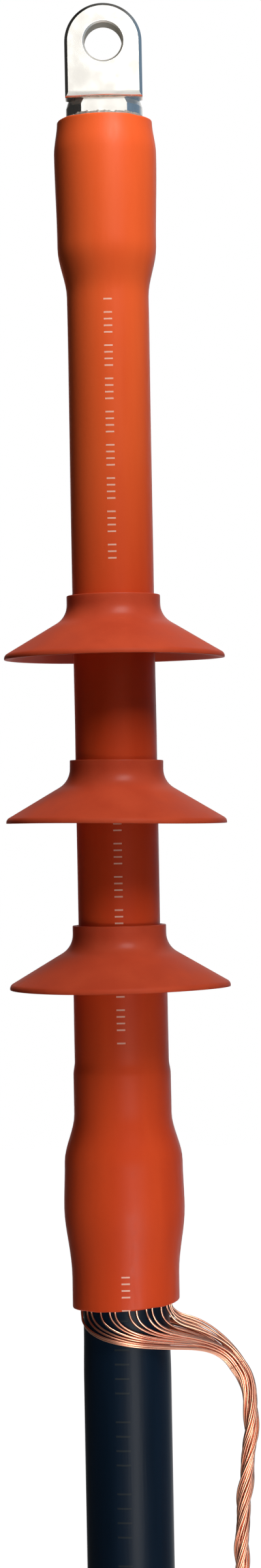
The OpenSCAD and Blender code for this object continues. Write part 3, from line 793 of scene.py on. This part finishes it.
# %% Nodes, sums and mixes
def put(tree, kind, sockets=None, **settings):
    """Adds a node, sets its properties and fills its sockets with values or links."""
    node = tree.nodes.new(kind)
    for key, value in settings.items():
        setattr(node, key, value)
    for key, value in (sockets or {}).items():
        if isinstance(value, bpy.types.NodeSocket):
            tree.links.new(value, node.inputs[key])
        else:
            node.inputs[key].default_value = value
    return node


def worked(tree, operation, first, second=0.0):
    """The result of one sum."""
    return put(tree, "ShaderNodeMath", {0: first, 1: second}, operation=operation).outputs[0]


def mixed(tree, mask, first, second):
    """One colour where a mask is 0 and another where it is 1."""
    node = put(tree, "ShaderNodeMix", {0: mask, 6: first, 7: second}, data_type="RGBA")
    return node.outputs[2]


def spread(tree, value, low, high, to_low=0.0, to_high=1.0):
    """A value stretched from one range to another, and held inside it."""
    sockets = {"Value": value, "From Min": low, "From Max": high, "To Min": to_low, "To Max": to_high}
    return put(tree, "ShaderNodeMapRange", sockets).outputs["Result"]


print("node helpers:", [helper.__name__ for helper in (put, worked, mixed, spread)])

# %% Groups, materials and colours
def new_group(name, inputs, outputs):
    """An empty shader node group with named sockets, and its two end nodes."""
    tree = bpy.data.node_groups.new(name, "ShaderNodeTree")
    for label, value in inputs.items():
        socket = tree.interface.new_socket(label, in_out="INPUT", socket_type="NodeSocketFloat")
        socket.default_value = value
    for label in outputs:
        tree.interface.new_socket(label, in_out="OUTPUT", socket_type="NodeSocketFloat")
    return tree, put(tree, "NodeGroupInput"), put(tree, "NodeGroupOutput")


def placed(tree, group, sockets=None):
    """A node group placed in a material."""
    return put(tree, "ShaderNodeGroup", sockets, node_tree=group)


def new_material(name):
    """A material with its tree and its Principled shader."""
    material = bpy.data.materials.new(name)
    material.use_nodes = True
    return material, material.node_tree, material.node_tree.nodes["Principled BSDF"]


def colour(red, green, blue):
    """A screen colour, turned into the linear numbers that a shader takes."""
    linear = []
    for value in (red, green, blue):
        share = value / 255
        linear.append(((share + 0.055) / 1.055)**2.4 if share > 0.04045 else share / 12.92)
    return (*linear, 1)


def wear(piece, material):
    """Gives a piece its one material."""
    piece.data.materials.clear()
    piece.data.materials.append(material)


print("mid grey on a screen is", round(colour(128, 128, 128)[0], 3), "to a shader")

# %% [markdown]
# ## Shared surface effects
#
# Some effects come back in several finishes. They could be built into each material, but as node groups
# they are made once and placed with other values. Mottling is a soft uneven tone that can be stretched
# along the cable. Grain is a fine height for a bump.

# %% Mottling
mottling, ends_in, ends_out = new_group(
    "mottling", {"Scale": 40, "Stretch": 1, "Low": 0.35, "High": 0.65}, ["Tone"])
place = put(mottling, "ShaderNodeTexCoord").outputs["Object"]
thin = put(mottling, "ShaderNodeCombineXYZ", {"X": 1, "Y": 1, "Z": ends_in.outputs["Stretch"]})
drawn_out = put(mottling, "ShaderNodeVectorMath", {0: place, 1: thin.outputs[0]}, operation="MULTIPLY")
cloud = put(mottling, "ShaderNodeTexNoise",
            {"Vector": drawn_out.outputs[0], "Scale": ends_in.outputs["Scale"], "Detail": 4})
tone = spread(mottling, cloud.outputs["Fac"], ends_in.outputs["Low"], ends_in.outputs["High"])
mottling.links.new(tone, ends_out.inputs["Tone"])
print("group", mottling.name)

# %% Grain
BROAD_SHARE = 0.2
grain, ends_in, ends_out = new_group("grain", {"Scale": 900, "Coarse": 0.5}, ["Height"])
place = put(grain, "ShaderNodeTexCoord").outputs["Object"]
fine = put(grain, "ShaderNodeTexNoise", {"Vector": place, "Scale": ends_in.outputs["Scale"], "Detail": 3})
broad_scale = worked(grain, "MULTIPLY", ends_in.outputs["Scale"], BROAD_SHARE)
broad = put(grain, "ShaderNodeTexNoise", {"Vector": place, "Scale": broad_scale, "Detail": 2})
weighed = worked(grain, "MULTIPLY", broad.outputs["Fac"], ends_in.outputs["Coarse"])
grain.links.new(worked(grain, "ADD", fine.outputs["Fac"], weighed), ends_out.inputs["Height"])
print("group", grain.name)

# %% Roughness and bump
def roughened(tree, shader, mask, smooth, rough):
    """Lets a mask take a shader's roughness from one value to another."""
    tree.links.new(spread(tree, mask, 0, 1, smooth, rough), shader.inputs["Roughness"])


def bumped(tree, shader, height, strength, depth):
    """Lets a shader catch the light as if its surface rose and fell with a height."""
    bump = put(tree, "ShaderNodeBump", {"Strength": strength, "Distance": depth, "Height": height})
    tree.links.new(bump.outputs["Normal"], shader.inputs["Normal"])


def grained(tree, shader, scale, strength, depth):
    """Gives a shader a fine grain."""
    bumped(tree, shader, placed(tree, grain, {"Scale": scale}).outputs["Height"], strength, depth)


print("surface helpers:", [helper.__name__ for helper in (roughened, bumped, grained)])

# %% [markdown]
# ## Tick marks
#
# A line of pale marks runs down the front of the tube, and a line of raised ones down the sheath. Both are
# plain ticks, like those on a ruler: short strokes across a narrow strip, at an even pitch, with every
# fifth one left out. They come in runs with bare stretches between, as a marking wheel leaves them. A
# picture could hold them, but a mask worked out from the place on the piece needs none, and one group
# serves both pieces.

# %% Tick marks
TICKS_A_SET = 5
ticks, ends_in, ends_out = new_group(
    "tick marks", {"Pitch": 3 * MM, "Stroke": 0.7 * MM, "Width": 3.8 * MM, "Offset": 0,
                   "Start": 0, "Run": 1, "Repeat": 1}, ["Mask"])
place = put(ticks, "ShaderNodeTexCoord").outputs["Object"]
axes = put(ticks, "ShaderNodeSeparateXYZ", {0: place})
beside = worked(ticks, "SUBTRACT", axes.outputs["X"], ends_in.outputs["Offset"])
off_line = worked(ticks, "ABSOLUTE", beside)
in_strip = worked(ticks, "LESS_THAN", off_line, worked(ticks, "MULTIPLY", ends_in.outputs["Width"], 0.5))
in_front = worked(ticks, "LESS_THAN", axes.outputs["Y"], AXIS_Y)
along = worked(ticks, "DIVIDE", axes.outputs["Z"], ends_in.outputs["Pitch"])
share = worked(ticks, "FLOORED_MODULO", along, 1.0)
stroke = worked(ticks, "DIVIDE", ends_in.outputs["Stroke"], ends_in.outputs["Pitch"])
in_stroke = worked(ticks, "LESS_THAN", share, stroke)
kept = worked(ticks, "GREATER_THAN", worked(ticks, "FLOORED_MODULO", along, TICKS_A_SET), 1.0)
below = worked(ticks, "SUBTRACT", ends_in.outputs["Start"], axes.outputs["Z"])
run_share = worked(ticks, "FLOORED_MODULO", below, ends_in.outputs["Repeat"])
mask = worked(ticks, "LESS_THAN", run_share, ends_in.outputs["Run"])
for part in (in_strip, in_front, in_stroke, kept):
    mask = worked(ticks, "MULTIPLY", mask, part)
ticks.links.new(mask, ends_out.inputs["Mask"])
print("group", ticks.name)

# %% [markdown]
# ## The tube's finish
#
# The tube is a smooth polymer with a soft gloss. One flat colour would look like paint, so its colour
# wanders a little along its length, as the heat left it. Above the sheds it is painted paler, painted light
# that stands in for the stronger light up there, and the pale ticks lie on top. The gloss varies too, on a
# finer scale, which breaks up the long highlight.

# %% Tube finish
PAINTED_LIGHT_FROM_Z = -260 * MM
PAINTED_LIGHT_TO_Z = -185 * MM
INK_SHARE = 0.85
TUBE_TICKS = {"Start": -115 * MM, "Run": 120 * MM, "Repeat": 219 * MM}
tube_red, tree, shader = new_material("shrunk orange-red tube")
tone = placed(tree, mottling, {"Scale": 55, "Stretch": 0.12}).outputs["Tone"]
cloud = placed(tree, mottling, {"Scale": 420, "Stretch": 0.4}).outputs["Tone"]
ink = placed(tree, ticks, TUBE_TICKS).outputs["Mask"]
place = put(tree, "ShaderNodeTexCoord").outputs["Object"]
height = put(tree, "ShaderNodeSeparateXYZ", {0: place}).outputs["Z"]
# The paler upper red, blended in above the sheds, is painted light: a lit copy of the lower red.
lower = mixed(tree, tone, colour(212, 70, 31), colour(223, 79, 37))
upper = mixed(tree, tone, colour(232, 90, 40), colour(240, 100, 48))
body = mixed(tree, spread(tree, height, PAINTED_LIGHT_FROM_Z, PAINTED_LIGHT_TO_Z), lower, upper)
inked = mixed(tree, worked(tree, "MULTIPLY", ink, INK_SHARE), body, colour(248, 200, 178))
tree.links.new(inked, shader.inputs["Base Color"])
roughened(tree, shader, cloud, smooth=0.36, rough=0.46)
grained(tree, shader, scale=1400, strength=0.12, depth=0.2 * MM)
shader.inputs["Specular IOR Level"].default_value = 0.15
wear(tube, tube_red)
print("finish", tube_red.name)

# %% [markdown]
# ## The sheds' finish
#
# The sheds are of the tube's family but moulded with a matt skin, browner and slightly dusty. Their edges
# are paler where they were rubbed. Such wear could be painted on, but the mesh's own pointiness finds the
# edges by itself, and noise breaks them up. Only the necks, which a hand gripped and pushed, have a faint
# gloss, so a thin coat fades out with the distance from the cable's axis.

# %% Rubbed edges
rubbed, ends_in, ends_out = new_group("rubbed edges", {"Low": 0.53, "High": 0.62, "Scale": 160}, ["Mask"])
pointed = put(rubbed, "ShaderNodeNewGeometry").outputs["Pointiness"]
place = put(rubbed, "ShaderNodeTexCoord").outputs["Object"]
patch = put(rubbed, "ShaderNodeTexNoise", {"Vector": place, "Scale": ends_in.outputs["Scale"], "Detail": 3})
edge = spread(rubbed, pointed, ends_in.outputs["Low"], ends_in.outputs["High"])
rubbed.links.new(worked(rubbed, "MULTIPLY", edge, patch.outputs["Fac"]), ends_out.inputs["Mask"])
print("group", rubbed.name)

# %% Shed finish
NECK_R = 24 * MM
SWEEP_R = 31 * MM
NECK_COAT = 0.19


def reach_from_line(tree, through, across):
    """Distance from a line through a point, measured along those axes that are marked with 1."""
    place = put(tree, "ShaderNodeTexCoord").outputs["Object"]
    offset = put(tree, "ShaderNodeVectorMath", {0: place, 1: through}, operation="SUBTRACT").outputs[0]
    flat = put(tree, "ShaderNodeVectorMath", {0: offset, 1: across}, operation="MULTIPLY").outputs[0]
    return put(tree, "ShaderNodeVectorMath", {0: flat}, operation="LENGTH").outputs["Value"]


shed_red, tree, shader = new_material("matt brown-red shed")
tone = placed(tree, mottling, {"Scale": 70}).outputs["Tone"]
edges = placed(tree, rubbed).outputs["Mask"]
body = mixed(tree, tone, colour(198, 74, 45), colour(207, 81, 50))
tree.links.new(mixed(tree, edges, body, colour(228, 126, 98)), shader.inputs["Base Color"])
roughened(tree, shader, tone, smooth=0.45, rough=0.55)
reach = reach_from_line(tree, through=(0, AXIS_Y, 0), across=(1, 1, 0))
tree.links.new(spread(tree, reach, NECK_R, SWEEP_R, NECK_COAT, 0.0), shader.inputs["Coat Weight"])
shader.inputs["Coat Roughness"].default_value = 0.3
grained(tree, shader, scale=1100, strength=0.15, depth=0.2 * MM)
shader.inputs["Specular IOR Level"].default_value = 0.05
for piece in sheds:
    wear(piece, shed_red)
print("finish", shed_red.name)

# %% [markdown]
# ## The copper
#
# The wires are bare drawn copper. Fresh copper is pinkish and bright, and it turns brown as it tarnishes,
# which goes faster on some wires than on others. Thirty materials could do that, but the tone that each
# wire carries does it with one. Stains along the wires keep a wire from being brown all over.

# %% Copper finish
STAIN_LEAST = 0.3
copper, tree, shader = new_material("bare drawn copper")
own = put(tree, "ShaderNodeAttribute", attribute_name="tone").outputs["Fac"]
stain = placed(tree, mottling, {"Scale": 85, "Low": 0.42, "High": 0.7}).outputs["Tone"]
tarnish = worked(tree, "MULTIPLY", own, spread(tree, stain, 0, 1, STAIN_LEAST, 1.0))
body = mixed(tree, tarnish, colour(253, 182, 150), colour(120, 74, 60))
tree.links.new(body, shader.inputs["Base Color"])
roughened(tree, shader, tarnish, smooth=0.26, rough=0.45)
shader.inputs["Metallic"].default_value = 1
for piece in (screen_wires, earth_lead):
    wear(piece, copper)
print("finish", copper.name)

# %% [markdown]
# ## The sheath's finish
#
# The sheath is black polyethylene with a bluish sheen, drawn through a die, which leaves fine streaks along
# it. Its black is tinted blue as well, a painted reflection of that sheen. The ticks on it are raised
# rather than printed. They are too low to need a mesh of their own, so the same mask lifts them in the bump
# and lightens their colour a little, a painted highlight for the light that their raised edges catch.

# %% Sheath finish
PAINTED_TICK_HIGHLIGHT = 0.6
STREAK_SHARE = 0.1
SHEATH_TICKS = {"Pitch": 6.5 * MM, "Stroke": 0.8 * MM, "Width": 6.5 * MM, "Offset": -2.4 * MM}
sheath_black, tree, shader = new_material("black sheath")
tone = placed(tree, mottling, {"Scale": 60, "Stretch": 0.1}).outputs["Tone"]
tick_bump_and_highlight = placed(tree, ticks, SHEATH_TICKS).outputs["Mask"]
# The blue in this black is a painted reflection of the bluish light from the right, over the sheath's real
# black.
body = mixed(tree, tone, colour(8, 22, 36), colour(13, 29, 45))
# Lightening the ticks' colour is a painted highlight; the raised ticks themselves are the bump below.
marked = mixed(tree, worked(tree, "MULTIPLY", tick_bump_and_highlight, PAINTED_TICK_HIGHLIGHT), body, colour(48, 52, 52))
tree.links.new(marked, shader.inputs["Base Color"])
roughened(tree, shader, tone, smooth=0.36, rough=0.44)
streaks = placed(tree, mottling, {"Scale": 900, "Stretch": 0.05}).outputs["Tone"]
height = worked(tree, "ADD", worked(tree, "MULTIPLY", streaks, STREAK_SHARE), tick_bump_and_highlight)
bumped(tree, shader, height, strength=0.6, depth=0.2 * MM)
shader.inputs["Specular IOR Level"].default_value = 0.1
wear(sheath, sheath_black)
print("finish", sheath_black.name)

# %% [markdown]
# ## The metals
#
# Both lugs are tinned, which is bright and slightly wavy. The bolt's hole gets a darker, less metallic wall
# and a rougher rim. The faces could be picked out by hand, but the solid is kept as it is, so the material
# finds them by their distance from the hole's axis, which runs through the frame's origin. The conductor
# and the bolts are plain aluminium.

# %% Metal finishes
BORE_R = 8.6 * MM
RIM_R = 9.5 * MM
BORE_METAL = 0.2
RIM_ROUGH = 0.5


def metal(name, bright, dull, smooth, rough, bored=False):
    """A metal with a fine uneven gloss and, if it is bored, a dull hole at the frame's origin."""
    material, tree, shader = new_material(name)
    tone = placed(tree, mottling, {"Scale": 130}).outputs["Tone"]
    skin = mixed(tree, tone, bright, dull)
    gloss = spread(tree, tone, 0, 1, smooth, rough)
    shader.inputs["Metallic"].default_value = 1
    if bored:
        reach = reach_from_line(tree, through=(0, 0, 0), across=(1, 0, 1))
        drilled = worked(tree, "LESS_THAN", reach, BORE_R)
        rim = worked(tree, "MULTIPLY", worked(tree, "LESS_THAN", reach, RIM_R), RIM_ROUGH)
        skin = mixed(tree, drilled, skin, colour(150, 142, 124))
        gloss = worked(tree, "MAXIMUM", gloss, rim)
        tree.links.new(spread(tree, drilled, 0, 1, 1, BORE_METAL), shader.inputs["Metallic"])
    tree.links.new(skin, shader.inputs["Base Color"])
    tree.links.new(gloss, shader.inputs["Roughness"])
    grained(tree, shader, scale=700, strength=0.08, depth=0.1 * MM)
    return material


tin = metal("bright tin plating", bright=colour(238, 234, 226), dull=colour(222, 219, 212),
            smooth=0.16, rough=0.28, bored=True)
bare_aluminium = metal("drawn aluminium", bright=colour(215, 217, 220), dull=colour(196, 198, 202),
                       smooth=0.25, rough=0.4)
for name in ("terminal_lug", "earth_lug"):
    wear(nodes[name], tin)
for name in ("conductor", "shear_bolts"):
    wear(nodes[name], bare_aluminium)
print("finishes", tin.name, "and", bare_aluminium.name)

# %% [markdown]
# ## The hidden layers
#
# Inside the tube lie the cable's screens and insulation, tapes, mastic and sealant. They show only where
# the part is cut open or its tube is hidden, so they need no shapes of their own. But each is still the
# material it would be, and one function with a table of tones makes them all. The bead at the tube's rim is
# the lug's sealant, so it takes that finish too.

# %% Finishes of the hidden layers
def layer(name, first, second, smooth, rough):
    """A plain polymer or mastic with a mottled tone and a little grain."""
    material, tree, shader = new_material(name)
    tone = placed(tree, mottling, {"Scale": 150}).outputs["Tone"]
    tree.links.new(mixed(tree, tone, colour(*first), colour(*second)), shader.inputs["Base Color"])
    roughened(tree, shader, tone, smooth, rough)
    grained(tree, shader, scale=800, strength=0.15, depth=0.15 * MM)
    return material


LAYERS = [
    ("matt black screen", (26, 26, 27), (34, 34, 35), 0.55, 0.7, ["conductor_screen", "insulation_screen"]),
    ("pale core insulation", (232, 229, 216), (224, 220, 206), 0.3, 0.42, ["core_insulation"]),
    ("black stress tube", (28, 28, 30), (38, 38, 40), 0.45, 0.6, ["stress_control_tube"]),
    ("yellow mastic", (216, 190, 60), (204, 176, 50), 0.4, 0.6, ["stress_relief_mastic"]),
    ("dark bedding tape", (52, 52, 56), (64, 64, 68), 0.7, 0.85, ["bedding_tape"]),
    ("pale separation tape", (216, 216, 208), (204, 204, 196), 0.6, 0.75, ["separation_tape"]),
    ("grey sealant", (146, 140, 132), (126, 120, 112), 0.35, 0.6, ["lug_sealant"]),
    ("dark sealant", (42, 38, 34), (54, 48, 44), 0.35, 0.6, ["sheath_sealant"]),
    ("red sealant", (128, 52, 36), (142, 62, 44), 0.35, 0.6, ["shed_sealant"]),
]
for name, first, second, smooth, rough, wearers in LAYERS:
    finish = layer(name, first, second, smooth, rough)
    for wearer in wearers:
        wear(nodes[wearer], finish)
    if "lug_sealant" in wearers:
        wear(bead, finish)
print(len(LAYERS), "finishes for hidden layers")

# %% [markdown]
# ## The white studio
#
# The background is the world itself. A bright world would light the part from all sides and wash out its
# shade, so it is white only for what the camera and reflections see, and dim as a light. Reflections find
# it dark to the left and overhead, as if black cards stood there, and bluish to the right, as from a
# window. That keeps the gloss from greying the red, and draws the metal's edges.

# %% Cards and window
WHITE = (1, 1, 1, 1)
LEFT_CARD = 0.03
LEFT_CARD_ENDS = (-0.45, 0.0)
WINDOW_ENDS = (0.3, 0.75)


def cards(tree, sideways):
    """How bright a reflection finds the studio, from -1 at the left to 1 at the right, and its tint."""
    bright = spread(tree, sideways, *LEFT_CARD_ENDS, LEFT_CARD, 1.0)
    window = spread(tree, sideways, *WINDOW_ENDS)
    return bright, mixed(tree, window, WHITE, colour(116, 142, 168))


def seen_straight(tree, rays):
    """1 for rays from the camera or through glass, and 0 for all others."""
    return worked(tree, "MAXIMUM", rays.outputs["Is Camera Ray"], rays.outputs["Is Transmission Ray"])


print("reflections find", LEFT_CARD, "of the white at the far left")

# %% World
DIM_LIGHT = 0.013
TOP_CARD = 0.12
TOP_CARD_ENDS = (0.6, 0.9)
world = bpy.data.worlds.new("white studio")
world.use_nodes = True
scene.world = world
tree = world.node_tree
rays = put(tree, "ShaderNodeLightPath")
glossy = rays.outputs["Is Glossy Ray"]
as_light = spread(tree, seen_straight(tree, rays), 0, 1, DIM_LIGHT, 1.0)
way = put(tree, "ShaderNodeSeparateXYZ", {0: put(tree, "ShaderNodeTexCoord").outputs["Generated"]})
bright, tint = cards(tree, way.outputs["X"])
overhead = spread(tree, way.outputs["Z"], *TOP_CARD_ENDS, 1.0, TOP_CARD)
mirrored = worked(tree, "MULTIPLY", bright, overhead)
strength = put(tree, "ShaderNodeMix", {0: glossy, 2: as_light, 3: mirrored}).outputs[0]
background = tree.nodes["Background"]
tree.links.new(mixed(tree, glossy, WHITE, tint), background.inputs["Color"])
tree.links.new(strength, background.inputs["Strength"])
print("world", world.name, "lights with", DIM_LIGHT)

# %% [markdown]
# ## The lamps
#
# A sun would draw hard shadows. A studio uses softboxes, whose wide faces give soft ones, so the lamps are
# rectangular area lamps. A large key stands at the upper right and a weak fill low in front. Little comes
# from the left, which lets that side fall into shade and makes the tube look round. A third lamp stands
# behind, a little to the left. It lights the back and the shaded side, without a rim of light in the front
# view.

# %% Lamps
def softbox(name, place, aim, width, height, watts, beam=180):
    """A rectangular lamp at a place, turned towards a point, with its beam kept to an angle in degrees."""
    lamp = bpy.data.lights.new(name, "AREA")
    lamp.shape = "RECTANGLE"
    lamp.size = width
    lamp.size_y = height
    lamp.energy = watts
    lamp.spread = math.radians(beam)
    holder = bpy.data.objects.new(name, lamp)
    scene.collection.objects.link(holder)
    holder.visible_camera = False
    holder.location = place
    holder.rotation_euler = (Vector(aim) - Vector(place)).to_track_quat("-Z", "Y").to_euler()
    return holder


key_light = softbox("key softbox", place=(0.18, -0.42, 0.27), aim=(0, AXIS_Y, -0.15),
                    width=0.28, height=0.42, watts=4.7)
low_fill = softbox("low fill", place=(0.15, -0.45, -0.73), aim=(0, AXIS_Y, -0.59),
                   width=0.26, height=0.34, watts=0.2, beam=50)
back_light = softbox("back light", place=(-0.3, 0.75, -0.36), aim=(0, AXIS_Y, -0.36),
                     width=0.3, height=0.6, watts=2.8)
back_light.visible_glossy = False
print("lamps:", [lamp.name for lamp in (key_light, low_fill, back_light)])

# %% [markdown]
# ## The floor
#
# A sheet of white paper lies well below the cable's end. Lit by the lamps alone it would be grey, so it
# glows for the camera and for reflections: less near the part, where its shadow falls, and fully white
# further off, where the sheet has to melt into the background. Reflections find the same dark left and
# bluish right in it as in the world.

# %% Floor
FLOOR_DROP = 0.4
FLOOR_REACH = 6
floor_z = cad_box[0][2] - FLOOR_DROP
ways = ((-1, -1), (1, -1), (1, 1), (-1, 1))
floor_corners = [(FLOOR_REACH * x, FLOOR_REACH * y, floor_z) for x, y in ways]
floor_mesh = bpy.data.meshes.new("floor")
floor_mesh.from_pydata(floor_corners, [], [(0, 1, 2, 3)])
floor = bpy.data.objects.new("floor", floor_mesh)
scene.collection.objects.link(floor)
print("floor at", round(floor_z, 3), "m")

# %% White paper
PAPER = (0.9, 0.9, 0.9, 1)
PAPER_ROUGH = 0.9
NEAR_GLOW = 0.7
GLOW_ENDS = (1.0, 2.0)
paper, tree, shader = new_material("white paper floor")
shader.inputs["Base Color"].default_value = PAPER
shader.inputs["Roughness"].default_value = PAPER_ROUGH
rays = put(tree, "ShaderNodeLightPath")
glossy = rays.outputs["Is Glossy Ray"]
place = put(tree, "ShaderNodeTexCoord").outputs["Object"]
far = put(tree, "ShaderNodeVectorMath", {0: place}, operation="LENGTH").outputs["Value"]
sideways = worked(tree, "DIVIDE", put(tree, "ShaderNodeSeparateXYZ", {0: place}).outputs["X"], far)
bright, tint = cards(tree, sideways)
tree.links.new(mixed(tree, glossy, WHITE, tint), shader.inputs["Emission Color"])
seen = worked(tree, "MAXIMUM", seen_straight(tree, rays), worked(tree, "MULTIPLY", glossy, bright))
glow = worked(tree, "MULTIPLY", seen, spread(tree, far, *GLOW_ENDS, NEAR_GLOW, 1.0))
tree.links.new(glow, shader.inputs["Emission Strength"])
wear(floor, paper)
print("finish", paper.name)
